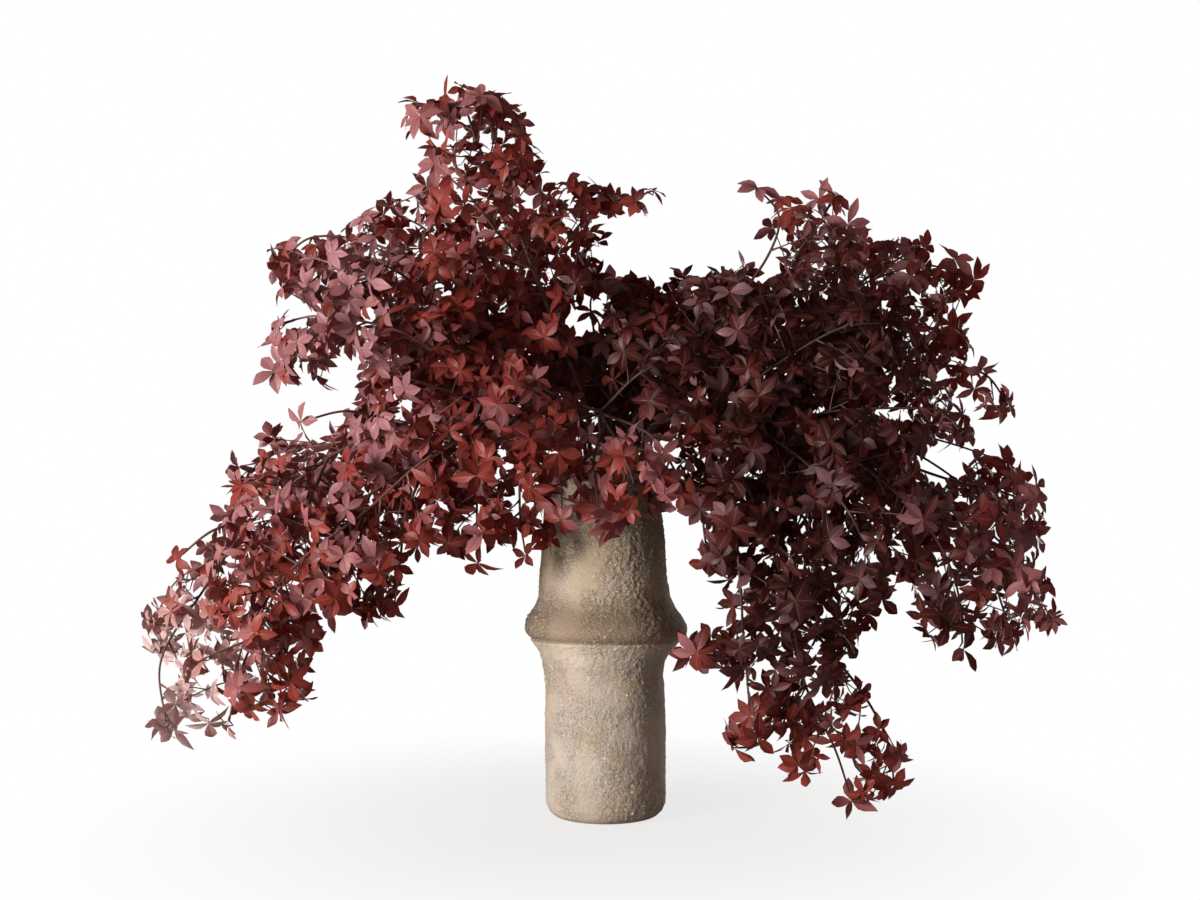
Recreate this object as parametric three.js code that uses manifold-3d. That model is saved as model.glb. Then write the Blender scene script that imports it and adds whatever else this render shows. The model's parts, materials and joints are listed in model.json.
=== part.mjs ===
import * as THREE from "three";
import Module from "manifold-3d";

// A vase of preserved maple branches. Millimetres, +Z up, origin under the middle of the vase's foot,
// and the front of the arrangement faces -Y.

// Vase, turned about Z, with a ring round its waist
const vaseHeight = 320;
const wallRadius = 54;
const ringRadius = 73;
const ringHeight = 168;
const ringTilt = 0.015;
const waistHeight = 134;
const waistShift = -1.9;
const neckShift = -2.2;
const shoulderRadius = 58;
const rimRadius = 51;
const wallThickness = 7;
const floorThickness = 12;
const vaseSides = 22;

// Wood
const seatGap = 2;
const trunkRadius = 2.6;
const lateralRadius = 1.5;
const shootRadius = 0.8;
const tipRadius = 0.8;
const petioleLength = 4;
const splineSteps = 10;
const tubeStride = 5;

// Shoots along the leafy stretch of each stem
const trunkBare = 390;
const lateralBare = 18;
const shootGap = 13;
const shootLength = 80;
const shootTaper = 0.4;
const shootStep = 10;
const shootDroop = 0.03;
const lowestLeaf = 24;
const frontReach = -212;
const backReach = 275;

// Whorls of leaflets on the shoots
const whorlGap = 16.5;
const twigLength = 12;
const leafletLength = 18.5;
const bladeThickness = 0.7;
const bladeArch = 0.16;
const bladeFold = 0.05;
const whorlSpacing = 93;
const neighbourGap = 0.4;
const goldenAngle = 2.39996;

// The leaves keep this far from the vase's body
const vaseClearance = 24;

// The arrangement is seen from the front by an eye at this distance and height
const eyeBack = 1215;
const eyeUp = 270;

// Edge of the foliage as the eye sees it against the plane y = 0: x, z
const crownEdge = [
  [-85, 230], [-115, 215], [-150, 240], [-162, 238], [-178, 190], [-197, 168], [-232, 172], [-262, 150],
  [-270, 90], [-310, 70], [-375, 60], [-410, 80], [-410, 120], [-425, 165], [-395, 210], [-368, 240],
  [-350, 280], [-335, 330], [-290, 355], [-240, 348], [-228, 385], [-275, 375], [-312, 385], [-308, 445],
  [-310, 500], [-270, 536], [-212, 548], [-178, 564], [-155, 578], [-165, 605], [-195, 622], [-188, 648],
  [-150, 650], [-130, 670], [-75, 650], [-60, 590], [-5, 567], [58, 572], [52, 545], [10, 525], [2, 495],
  [55, 470], [70, 495], [125, 498], [145, 474], [152, 505], [125, 540], [135, 578], [172, 558],
  [218, 574], [232, 545], [240, 520], [305, 518], [350, 482], [322, 450], [335, 425], [375, 368],
  [340, 335], [375, 315], [398, 295], [400, 220], [412, 170], [390, 137], [350, 145], [320, 128],
  [275, 165], [255, 205], [250, 175], [215, 145], [230, 120], [258, 90], [275, 55], [268, 8],
  [220, -10], [175, 25], [150, 52], [100, 52], [105, 75], [122, 85], [116, 115], [70, 140], [70, 165],
  [105, 190], [88, 230], [75, 275], [40, 265], [-5, 240], [-50, 235],
];

// Gaps in the foliage, seen the same way: x, z and half widths
const crownGaps = [
  [-16, 448, 23, 23], [252, 359, 14, 11], [302, 318, 28, 17], [-95, 224, 23, 27], [323, 366, 14, 14],
  [76, 242, 18, 31], [76, 192, 22, 22], [99, 539, 50, 54], [-228, 374, 10, 14], [-234, 403, 14, 10],
  [-185, 368, 13, 13], [-342, 88, 15, 14], [262, 198, 16, 24], [220, 39, 15, 15],
];

// Branches: the seed of each one's shoots, where it stands on the vase's floor and crosses its mouth,
// the trunk's route above that, and each lateral's route from the trunk point whose number comes first
const branches = [
  {
    name: "crown", seed: 3, foot: [-12, 8], mouth: [-14, 8],
    trunk: [[-20, 10, 375], [-40, 10, 425], [-65, 0, 490], [-85, -5, 545], [-95, -10, 595],
      [-115, -10, 635], [-145, -15, 630], [-175, -15, 625]],
    laterals: [
      [2, [-55, 40, 545], [-72, 40, 600], [-92, 40, 649]],
      [1, [-35, 45, 485], [-35, 50, 525], [-5, 45, 555], [45, 40, 570]],
      [2, [-90, -40, 510], [-115, -60, 540], [-146, -65, 568]],
      [3, [-110, -25, 590], [-122, -30, 625], [-126, -30, 644]],
    ],
  },
  {
    name: "left_high", seed: 1, foot: [-22, 14], mouth: [-26, 16],
    trunk: [[-55, 30, 375], [-100, 45, 430], [-155, 55, 490], [-220, 60, 525], [-275, 55, 530],
      [-305, 50, 505]],
    laterals: [
      [1, [-135, -20, 435], [-175, -60, 475], [-220, -80, 485], [-250, -85, 460]],
      [1, [-160, 10, 400], [-210, 0, 420], [-260, -20, 430], [-290, -30, 395]],
      [2, [-170, 90, 540], [-200, 95, 560]],
      [1, [-140, -70, 410], [-180, -90, 425], [-235, -90, 435], [-274, -80, 430]],
      [0, [-110, -50, 370], [-155, -85, 380], [-190, -90, 390]],
    ],
  },
  {
    name: "left_low", seed: 4, foot: [-26, 2], mouth: [-32, 2],
    trunk: [[-70, 5, 360], [-125, 10, 365], [-185, 5, 350], [-250, 0, 320], [-315, -5, 265],
      [-360, -10, 200], [-395, -15, 140], [-390, -15, 80]],
    laterals: [
      [1, [-175, 50, 350], [-245, 75, 340], [-325, 85, 325], [-345, 85, 300]],
      [1, [-195, 70, 330], [-280, 110, 285], [-365, 125, 235], [-425, 130, 205], [-450, 125, 160]],
      [3, [-265, -50, 255], [-285, -65, 195], [-310, -70, 135], [-320, -70, 90]],
      [2, [-225, -30, 360], [-265, -40, 350]],
      [4, [-345, -30, 255], [-375, -35, 230]],
    ],
  },
  {
    name: "left_front", seed: 4, foot: [-22, -12], mouth: [-28, -16],
    trunk: [[-61, -33, 351], [-98, -48, 348], [-152, -55, 317], [-202, -60, 286], [-246, -64, 238],
      [-273, -64, 173], [-278, -62, 104]],
    laterals: [
      [1, [-127, -66, 333], [-162, -76, 308], [-203, -86, 270], [-252, -95, 232],
        [-290, -104, 182], [-310, -104, 123]],
      [2, [-170, -62, 270], [-175, -66, 227], [-180, -66, 190]],
      [1, [-109, -54, 306], [-110, -60, 265], [-109, -62, 228]],
      [0, [-72, -56, 316], [-73, -62, 270], [-68, -64, 234]],
      [3, [-217, -82, 232], [-228, -86, 200]],
    ],
  },
  {
    name: "centre", seed: 1, foot: [2, 16], mouth: [4, 18],
    trunk: [[5, 45, 375], [20, 70, 425], [40, 85, 470], [45, 90, 485]],
    laterals: [
      [0, [40, 70, 415], [80, 85, 460], [115, 85, 490], [135, 85, 500]],
      [0, [-5, 100, 420], [-15, 150, 485], [5, 170, 505]],
      [0, [-15, 60, 405], [-45, 90, 455], [-45, 100, 485]],
    ],
  },
  {
    name: "right_high", seed: 3, foot: [14, 6], mouth: [18, 8],
    trunk: [[40, 15, 375], [75, 10, 420], [115, 0, 460], [145, -5, 500], [155, -10, 535],
      [135, -15, 560]],
    laterals: [
      [2, [170, 20, 490], [190, 25, 525], [210, 25, 560]],
      [1, [80, -40, 440], [95, -60, 455]],
      [2, [140, -50, 455], [165, -60, 465], [190, -60, 465]],
    ],
  },
  {
    name: "right_top", seed: 5, foot: [22, 12], mouth: [26, 16],
    trunk: [[60, 40, 370], [110, 60, 405], [170, 75, 445], [235, 85, 485], [305, 90, 510],
      [355, 85, 495]],
    laterals: [
      [1, [180, 110, 400], [245, 140, 435], [315, 150, 445], [355, 150, 455]],
      [2, [220, 60, 425], [275, 50, 440], [320, 50, 430]],
      [3, [270, 110, 510], [302, 115, 528]],
    ],
  },
  {
    name: "right_mid", seed: 6, foot: [26, 0], mouth: [34, 2],
    trunk: [[60, 10, 360], [115, 10, 375], [175, 10, 395], [240, 5, 410], [295, 0, 405],
      [338, -5, 396], [358, -10, 370]],
    laterals: [
      [1, [160, -30, 355], [210, -50, 360], [270, -60, 360], [305, -60, 355]],
      [2, [230, 60, 375], [295, 90, 350], [345, 95, 335], [390, 100, 320]],
      [1, [150, -60, 400], [195, -80, 425], [230, -85, 430]],
    ],
  },
  {
    name: "right_low", seed: 4, foot: [26, -8], mouth: [32, -10],
    trunk: [[60, -20, 355], [115, -30, 355], [175, -35, 345], [240, -40, 320], [300, -45, 280],
      [350, -50, 235], [380, -50, 180]],
    laterals: [
      [2, [220, -90, 305], [260, -110, 265], [285, -115, 215], [290, -120, 160]],
      [3, [315, 10, 300], [365, 25, 290], [395, 30, 275]],
      [2, [235, 20, 345], [305, 60, 320], [365, 75, 275], [405, 80, 215]],
      [1, [165, -85, 315], [200, -110, 270], [215, -115, 230], [225, -115, 200]],
      [4, [320, -80, 230], [335, -90, 180]],
      [1, [175, 60, 330], [240, 100, 290], [300, 120, 235], [320, 120, 185]],
    ],
  },
  {
    name: "fall", seed: 11, foot: [16, -18], mouth: [20, -26],
    trunk: [[36, -43, 361], [77, -61, 352], [108, -72, 316], [133, -76, 260], [154, -76, 198],
      [169, -72, 126], [195, -68, 70], [210, -65, 25]],
    laterals: [
      [1, [103, -94, 291], [109, -104, 234], [114, -104, 166], [119, -104, 104]],
      [2, [162, -43, 280], [192, -29, 230], [207, -25, 184], [212, -25, 154]],
      [4, [193, -43, 153], [228, -36, 108], [248, -32, 68], [253, -32, 32]],
      [1, [87, -79, 306], [82, -83, 265], [87, -83, 229]],
      [4, [114, -94, 182], [93, -97, 161], [67, -97, 156]],
      [5, [140, -81, 87], [126, -85, 76], [108, -86, 74]],
    ],
  },
  {
    name: "front", seed: 1, foot: [-2, -20], mouth: [-4, -30],
    trunk: [[-5, -54, 357], [0, -79, 347], [16, -101, 317], [26, -108, 286]],
    laterals: [
      [0, [-31, -79, 342], [-36, -97, 306], [-36, -104, 265]],
      [1, [-10, -108, 312], [-5, -115, 275]],
      [0, [36, -86, 337], [57, -101, 306], [62, -101, 286]],
      [0, [-37, -60, 370], [-64, -70, 366], [-86, -76, 340]],
      [0, [32, -66, 391], [70, -78, 398], [97, -86, 372]],
    ],
  },
  {
    name: "back_left", seed: 6, foot: [-14, 20], mouth: [-18, 28],
    trunk: [[-35, 85, 380], [-85, 140, 425], [-150, 190, 445], [-220, 225, 430], [-275, 240, 370],
      [-310, 240, 305]],
    laterals: [
      [1, [-140, 190, 480], [-195, 220, 505], [-250, 230, 510]],
      [1, [-130, 200, 400], [-180, 240, 370], [-200, 250, 315]],
      [0, [-75, 140, 455], [-110, 170, 520], [-140, 175, 540]],
    ],
  },
  {
    name: "back_right", seed: 6, foot: [14, 20], mouth: [16, 28],
    trunk: [[35, 85, 380], [85, 140, 420], [150, 190, 440], [230, 225, 425], [285, 240, 360],
      [315, 240, 285]],
    laterals: [
      [1, [150, 200, 470], [205, 220, 485], [260, 225, 485]],
      [1, [140, 200, 390], [200, 240, 340], [220, 250, 275]],
      [0, [55, 150, 445], [85, 180, 480], [140, 185, 490]],
    ],
  },
  {
    name: "back", seed: 1, foot: [0, 26], mouth: [0, 36],
    trunk: [[0, 110, 380], [-5, 160, 420], [-5, 210, 430], [-5, 250, 395], [0, 270, 315]],
    laterals: [
      [1, [-50, 220, 435], [-80, 260, 405], [-95, 270, 360]],
      [1, [45, 220, 435], [80, 260, 405], [95, 270, 360]],
      [0, [-5, 150, 455], [-15, 190, 480]],
    ],
  },
];

const wasm = await Module();
wasm.setup();

const vector = (x, y, z) => new THREE.Vector3(x, y, z);

// Random numbers that repeat for one seed
function seeded(seed) {
  let state = seed;
  return (low = 0, high = 1) => {
    state = (state * 1664525 + 1013904223) % 4294967296;
    return low + ((high - low) * state) / 4294967296;
  };
}

// Catmull-Rom line through the points, with the distance run at each of its vertices
function smooth(points) {
  const last = points.length - 1;
  const before = points[0].clone().multiplyScalar(2).sub(points[1]);
  const after = points[last].clone().multiplyScalar(2).sub(points[last - 1]);
  const all = [before, ...points, after];
  const line = [points[0].clone()];
  for (let i = 0; i < last; i++) {
    const [a, b, c, d] = all.slice(i, i + 4);
    for (let step = 1; step <= splineSteps; step++) {
      const t = step / splineSteps;
      const t2 = t * t;
      const t3 = t2 * t;
      line.push(vector(0, 0, 0)
        .addScaledVector(a, 0.5 * (-t + 2 * t2 - t3))
        .addScaledVector(b, 0.5 * (2 - 5 * t2 + 3 * t3))
        .addScaledVector(c, 0.5 * (t + 4 * t2 - 3 * t3))
        .addScaledVector(d, 0.5 * (-t2 + t3)));
    }
  }
  return measured(line);
}

function measured(line) {
  const run = [0];
  for (let i = 1; i < line.length; i++) {
    run.push(run[i - 1] + line[i].distanceTo(line[i - 1]));
  }
  return { line, run, length: run[run.length - 1] };
}

// Point and direction at a distance along a measured line
function along(route, distance) {
  let i = 1;
  while (i < route.line.length - 1 && route.run[i] < distance) {
    i++;
  }
  const share = (distance - route.run[i - 1]) / (route.run[i] - route.run[i - 1]);
  const point = route.line[i - 1].clone().lerp(route.line[i], share);
  const direction = route.line[i].clone().sub(route.line[i - 1]).normalize();
  return { point, direction };
}

// A direction that opens from the given one by an angle, towards an azimuth round it
function aside(direction, azimuth, opening) {
  const reference = Math.abs(direction.z) < 0.8 ? vector(0, 0, 1) : vector(1, 0, 0);
  const side = reference.cross(direction).normalize();
  const other = direction.clone().cross(side);
  const spread = side.multiplyScalar(Math.cos(azimuth)).addScaledVector(other, Math.sin(azimuth));
  return direction.clone().multiplyScalar(Math.cos(opening)).addScaledVector(spread, Math.sin(opening));
}

// Whether foliage may grow at a point: inside the crown's edge, off its gaps, clear of the vase
function mayGrow(point, reach) {
  if (point.z < lowestLeaf || point.y < frontReach || point.y > backReach) {
    return false;
  }
  const bodyRadius = point.z < ringHeight + 40 ? ringRadius : shoulderRadius;
  const nearVase = Math.hypot(point.x, point.y) < bodyRadius + vaseClearance;
  if (nearVase && point.z < vaseHeight + vaseClearance / 2) {
    return false;
  }
  const shrink = eyeBack / (eyeBack + point.y);
  const x = point.x * shrink;
  const z = eyeUp + (point.z - eyeUp) * shrink;
  const probes = [[0, 0], [reach, 0], [-reach, 0], [0, reach], [0, -reach]];
  if (!probes.every(([dx, dz]) => insideEdge(x + dx, z + dz))) {
    return false;
  }
  return crownGaps.every(([gx, gz, rx, rz]) => ((x - gx) / rx) ** 2 + ((z - gz) / rz) ** 2 >= 1);
}

function insideEdge(x, z) {
  let inside = false;
  crownEdge.forEach(([xi, zi], i) => {
    const [xj, zj] = crownEdge[(i + crownEdge.length - 1) % crownEdge.length];
    if (zi > z !== zj > z && x < ((xj - xi) * (z - zi)) / (zj - zi) + xi) {
      inside = !inside;
    }
  });
  return inside;
}

// A whorl's size and attitude: it looks outwards, and the draws keep the order of their use
function makeWhorl(centre, heading, draw, scale) {
  const side = centre.y < 50 ? -150 : 150;
  const outward = vector(0.5 * centre.x, side, 0.5 * (centre.z - 330)).normalize();
  const stray = vector(draw(-0.9, 0.9), draw(-0.9, 0.9), draw(-0.6, 0.9));
  const normal = stray.addScaledVector(heading, 0.4).addScaledVector(outward, 0.8).normalize();
  const size = leafletLength * scale * draw(0.75, 1.15);
  const spin = draw(0, 2 * Math.PI);
  const lobes = draw() < 0.6 ? 5 : 6;
  draw();
  return { centre: centre.clone(), normal, size, spin, lobes };
}

// Every shoot of one stem, each with the whorls on its side twigs and the one at its tip
function growShoots(route, bare, draw) {
  const shoots = [];
  const leafy = route.length - bare;
  for (let k = 0; k < Math.floor(leafy / shootGap); k++) {
    const distance = bare + (k + draw(0.2, 0.8)) * shootGap;
    if (distance > route.length - 6) {
      break;
    }
    const { point, direction } = along(route, distance);
    const share = (distance - bare) / leafy;
    const length = shootLength * (1 - shootTaper * share) * draw(0.6, 1.15);
    const heading = aside(direction, k * goldenAngle + draw(-0.5, 0.5), draw(0.8, 1.25));
    const line = [point];
    for (let run = 0; run < length; run += shootStep) {
      heading.add(vector(draw(-0.09, 0.09), draw(-0.09, 0.09), draw(-0.09, 0.09) - shootDroop));
      heading.normalize();
      const next = line[line.length - 1].clone().addScaledVector(heading, shootStep);
      if (!mayGrow(next, 8)) {
        break;
      }
      line.push(next);
    }
    if (line.length < 3) {
      continue;
    }
    const shoot = measured(line);
    const whorls = [];
    for (let j = 0; j < Math.floor((shoot.length - 8) / whorlGap); j++) {
      const place = 10 + (j + draw(0.2, 0.7)) * whorlGap;
      if (place > shoot.length - 6) {
        break;
      }
      const node = along(shoot, place);
      const out = aside(node.direction, (j + k) * goldenAngle + draw(-0.4, 0.4), draw(0.7, 1.2));
      const tip = node.point.addScaledVector(out, twigLength * draw(0.6, 1.3));
      if (mayGrow(tip, 8)) {
        whorls.push(makeWhorl(tip, out, draw, 0.9));
      }
    }
    whorls.push(makeWhorl(line[line.length - 1], heading, draw, 1));
    shoots.push({ line, whorls });
  }
  return shoots;
}

// A branch's trunk and laterals with the shoots on each
function growBranch(branch) {
  const draw = seeded(7919 * branch.seed);
  const [footX, footY] = branch.foot;
  const [mouthX, mouthY] = branch.mouth;
  const hidden = [
    vector(footX, footY, floorThickness + seatGap),
    vector((footX + mouthX) / 2, (footY + mouthY) / 2, vaseHeight / 2),
    vector(mouthX, mouthY, vaseHeight),
  ];
  const trunk = branch.trunk.map((p) => vector(...p));
  const stems = [{ route: smooth([...hidden, ...trunk]), bare: trunkBare, radius: trunkRadius, sides: 4 }];
  for (const [fork, ...points] of branch.laterals) {
    const route = smooth([trunk[fork], ...points.map((p) => vector(...p))]);
    stems.push({ route, bare: lateralBare, radius: lateralRadius, sides: 3 });
  }
  for (const stem of stems) {
    stem.shoots = growShoots(stem.route, stem.bare, draw);
    const { point, direction } = along(stem.route, stem.route.length);
    stem.tip = makeWhorl(point, direction, draw, 1.05);
  }
  return stems;
}

// A closed solid from vertices and outward triangles
function solid(vertices, triangles) {
  const vertProperties = new Float32Array(vertices.flatMap((v) => [v.x, v.y, v.z]));
  const triVerts = new Uint32Array(triangles.flat());
  return new wasm.Manifold(new wasm.Mesh({ numProp: 3, vertProperties, triVerts }));
}

// A tapering rod with flat ends along a line
function rod(line, startRadius, endRadius, sides) {
  const vertices = [];
  const triangles = [];
  let side = null;
  line.forEach((point, i) => {
    const ahead = line[Math.min(i + 1, line.length - 1)];
    const behind = line[Math.max(i - 1, 0)];
    const direction = ahead.clone().sub(behind).normalize();
    side ??= aside(direction, 0, Math.PI / 2);
    side = side.clone().addScaledVector(direction, -side.dot(direction)).normalize();
    const other = direction.clone().cross(side);
    const radius = startRadius + ((endRadius - startRadius) * i) / (line.length - 1);
    for (let s = 0; s < sides; s++) {
      const angle = (s / sides) * 2 * Math.PI;
      vertices.push(point.clone()
        .addScaledVector(side, radius * Math.cos(angle))
        .addScaledVector(other, radius * Math.sin(angle)));
    }
  });
  const end = vertices.length - sides;
  for (let i = 0; i < end; i += sides) {
    for (let s = 0; s < sides; s++) {
      const a = i + s;
      const b = i + ((s + 1) % sides);
      triangles.push([a, b, b + sides], [a, b + sides, a + sides]);
    }
  }
  for (let s = 1; s < sides - 1; s++) {
    triangles.push([0, s + 1, s], [end, end + s, end + s + 1]);
  }
  return solid(vertices, triangles);
}

// One arched star blade cut to its ribs: a notch, a shoulder, a tip and a shoulder for each leaflet
function blade(whorl, thickness) {
  const { centre, normal, size, spin, lobes } = whorl;
  const reference = Math.abs(normal.z) < 0.9 ? vector(0, 0, 1) : vector(1, 0, 0);
  const right = reference.cross(normal).normalize();
  const up = normal.clone().cross(right);
  const half = Math.PI / lobes;
  const flank = 0.62 * half;
  const outline = [[-half, 0.26, 0], [-flank, 0.58, bladeFold], [0, 1, 0], [flank, 0.58, bladeFold]];
  const faces = [1, -1].map((face) => {
    const points = [];
    for (let lobe = 0; lobe < lobes; lobe++) {
      for (const [turn, radius, lift] of outline) {
        const angle = spin + 2 * half * lobe + turn;
        points.push(centre.clone()
          .addScaledVector(right, Math.cos(angle) * radius * size)
          .addScaledVector(up, Math.sin(angle) * radius * size)
          .addScaledVector(normal, (lift - bladeArch * radius * radius) * size + (face * thickness) / 2));
      }
    }
    return points;
  });
  const count = outline.length * lobes;
  const triangles = [];
  const bothFaces = (a, b, c) => triangles.push([a, b, c], [c + count, b + count, a + count]);
  for (let i = 0; i < count; i += outline.length) {
    const next = (i + outline.length) % count;
    bothFaces(i, i + 1, i + 2);
    bothFaces(i, i + 2, next);
    bothFaces(i + 2, i + 3, next);
  }
  const notches = lobes === 5
    ? [[0, 1, 2], [0, 2, 3], [0, 3, 4]]
    : [[0, 1, 2], [2, 3, 4], [4, 5, 0], [0, 2, 4]];
  notches.forEach((corners) => bothFaces(...corners.map((corner) => corner * outline.length)));
  for (let i = 0; i < count; i++) {
    const j = (i + 1) % count;
    triangles.push([i, i + count, j + count], [i, j + count, j]);
  }
  return solid([...faces[0], ...faces[1]], triangles);
}

// The end of a stem turns up into the back of its tip whorl and stops inside the blade
function turnedUp(line, whorl) {
  const stalk = whorl.centre.clone().addScaledVector(whorl.normal, -petioleLength);
  return [...line.slice(0, -1), stalk, whorl.centre];
}

// A shoot as a straight rod that starts inside its stem, with the whorl at its tip
function leafyShoot(shoot, extra) {
  const { line, whorls } = shoot;
  const whorl = whorls[whorls.length - 1];
  const root = line[0].clone().lerp(line[1], -0.1);
  const stalk = rod(turnedUp([root, whorl.centre], whorl), shootRadius + extra, shootRadius + extra, 3);
  return stalk.add(blade(whorl, bladeThickness + 2 * extra));
}

// A stem's rod, with long stretches inside the vase and shorter ones outside it
function stemRod(stem) {
  const isTrunk = stem.bare === trunkBare;
  const kept = stem.route.line.filter((point, i) => {
    const stride = isTrunk && i < 3 * splineSteps ? splineSteps : tubeStride;
    return i % stride === 0;
  });
  return rod(turnedUp(kept, stem.tip), stem.radius, tipRadius, stem.sides);
}

function boxesMeet(a, b) {
  const [p, q] = [a.boundingBox(), b.boundingBox()];
  return [0, 1, 2].every((i) => p.min[i] <= q.max[i] && q.min[i] <= p.max[i]);
}

function crosses(candidate, others) {
  return others.some((other) => boxesMeet(candidate, other) && candidate.intersect(other).volume() > 0);
}

// Each branch's wood with its tip whorls, then the shoots that stand far enough from the whorls there are
function buildBranches() {
  const grown = branches.map(growBranch);
  const placed = [];
  const solids = grown.map((stems) => {
    const rods = stems.map(stemRod);
    const tips = stems.map((stem) => blade(stem.tip, bladeThickness));
    placed.push(...stems.map((stem) => stem.tip.centre));
    return wasm.Manifold.union([...rods, ...tips]);
  });
  grown.forEach((stems, index) => {
    const others = solids.filter((_, i) => i !== index);
    const parts = [solids[index]];
    for (const shoot of stems.flatMap((stem) => stem.shoots)) {
      const tip = shoot.line[shoot.line.length - 1];
      const roomy = placed.every((centre) => centre.distanceTo(tip) > whorlSpacing);
      if (roomy && !crosses(leafyShoot(shoot, neighbourGap), others)) {
        placed.push(tip);
        parts.push(leafyShoot(shoot, 0));
      }
    }
    solids[index] = wasm.Manifold.union(parts);
  });
  return solids.map(largestBody);
}

// Fusing can leave a scrap or a sealed bubble, and only the main body is kept
function largestBody(shape) {
  return shape.decompose().sort((a, b) => b.volume() - a.volume())[0];
}

function toGeometry(shape) {
  const { vertProperties, triVerts } = shape.getMesh();
  const geometry = new THREE.BufferGeometry();
  geometry.setAttribute("position", new THREE.BufferAttribute(vertProperties, 3));
  geometry.setIndex(new THREE.BufferAttribute(triVerts, 1));
  return geometry;
}

// The vase's outside from the foot up, its lip and its inside down to the floor, as radius and height
function vaseProfile() {
  const inner = (radius) => radius - wallThickness;
  return [
    [0, 0], [44, 0], [50, 3], [wallRadius - 1, 9], [wallRadius, 18], [wallRadius, 90],
    [wallRadius - 1, 126], [wallRadius + 1, 138], [wallRadius + 5, 147], [wallRadius + 12, 157],
    [ringRadius - 3, 161], [ringRadius, ringHeight], [ringRadius - 2, 175], [shoulderRadius + 5, 186],
    [shoulderRadius + 1, 195], [shoulderRadius - 1, 215], [rimRadius, 290], [rimRadius, vaseHeight - 3],
    [rimRadius - 3, vaseHeight],
    [inner(rimRadius) + 2, vaseHeight], [inner(rimRadius), vaseHeight - 3], [inner(rimRadius), 290],
    [inner(wallRadius), 200], [inner(wallRadius), floorThickness + 6],
    [inner(wallRadius) - 6, floorThickness], [0, floorThickness],
  ].map(([radius, height]) => new THREE.Vector2(radius, height));
}

// The ring sits a little lower at the right than at the left, and the waist and the neck lean left
function vaseGeometry() {
  const geometry = new THREE.LatheGeometry(vaseProfile(), vaseSides);
  geometry.rotateX(Math.PI / 2);
  const position = geometry.getAttribute("position");
  for (let i = 0; i < position.count; i++) {
    const x = position.getX(i);
    const z = position.getZ(i);
    const nearRing = Math.exp(-(((z - ringHeight) / 25) ** 2));
    const nearWaist = Math.exp(-(((z - waistHeight) / 16) ** 2));
    const nearNeck = 1 / (1 + Math.exp((200 - z) / 10));
    position.setX(i, x + waistShift * nearWaist + neckShift * nearNeck);
    position.setZ(i, z - ringTilt * x * nearRing);
  }
  return geometry;
}

const clay = new THREE.MeshStandardMaterial({ color: "#b09a83", roughness: 0.92, metalness: 0 });
const foliage = new THREE.MeshStandardMaterial({ color: "#6b2a26", roughness: 0.5, metalness: 0 });

const arrangement = new THREE.Group();
const vase = new THREE.Mesh(vaseGeometry(), clay);
vase.name = "vase";
arrangement.add(vase);
buildBranches().forEach((shape, index) => {
  const mesh = new THREE.Mesh(toGeometry(shape), foliage);
  mesh.name = `branch_${branches[index].name}`;
  arrangement.add(mesh);
});

export default arrangement;
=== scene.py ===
import json
import math

import bpy
import numpy as np
from mathutils import Matrix, Vector

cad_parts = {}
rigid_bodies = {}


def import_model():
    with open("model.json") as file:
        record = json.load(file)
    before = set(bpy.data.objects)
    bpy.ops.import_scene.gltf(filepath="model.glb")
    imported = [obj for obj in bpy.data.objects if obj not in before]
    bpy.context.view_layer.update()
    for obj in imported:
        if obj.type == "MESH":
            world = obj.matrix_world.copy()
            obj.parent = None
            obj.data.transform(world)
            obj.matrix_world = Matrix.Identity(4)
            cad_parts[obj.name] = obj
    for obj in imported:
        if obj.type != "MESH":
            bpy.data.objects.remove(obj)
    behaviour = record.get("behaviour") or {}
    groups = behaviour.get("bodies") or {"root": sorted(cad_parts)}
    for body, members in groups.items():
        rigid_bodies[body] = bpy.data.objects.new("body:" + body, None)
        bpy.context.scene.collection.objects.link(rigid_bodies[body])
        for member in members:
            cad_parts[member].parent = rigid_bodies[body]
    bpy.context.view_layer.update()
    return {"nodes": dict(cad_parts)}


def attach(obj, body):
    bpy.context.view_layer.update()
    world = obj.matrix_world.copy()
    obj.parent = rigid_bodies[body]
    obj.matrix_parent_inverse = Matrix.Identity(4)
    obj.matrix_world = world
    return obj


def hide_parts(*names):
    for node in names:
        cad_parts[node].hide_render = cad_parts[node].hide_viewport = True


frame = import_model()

print("frame loaded:", len(frame["nodes"]), "nodes")

# Lengths of the growth are in millimetres, as in the part, and every mesh is made in metres
metres = 0.001


def newObject(name, data):
    thing = bpy.data.objects.new(name, data)
    bpy.context.collection.objects.link(thing)
    return thing


# The photograph's view: a level camera, with the vase a little left of the lens axis
view = {
    "distance": 1.215,
    "height": 0.2706,
    "lens": 40.5,
    "shiftX": -0.00458,
    "shiftY": 0.0525,
}

cameraData = bpy.data.cameras.new("camera")
cameraData.lens = view["lens"]
cameraData.sensor_width = 36
cameraData.shift_x = view["shiftX"]
cameraData.shift_y = view["shiftY"]
camera = newObject("camera", cameraData)
camera.location = (0, -view["distance"], view["height"])
camera.rotation_euler = (math.pi / 2, 0, 0)
bpy.context.scene.camera = camera


class Value:  # a socket that can be used in Python's arithmetic
    def __init__(self, graph, socket):
        self.graph = graph
        self.socket = socket

    def size(self):
        return self.graph.maths("ABSOLUTE", self)

    def wave(self):
        return self.graph.maths("SINE", self)

    def fraction(self):
        return self.graph.maths("FRACT", self)

    def between(self, low, high):  # 0 before low, 1 past high, smooth in the middle
        settings = {"interpolation_type": "SMOOTHSTEP"}
        inputs = {"Value": self, "From Min": low, "From Max": high}
        return self.graph.add("ShaderNodeMapRange", settings, inputs)["Result"]


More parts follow.
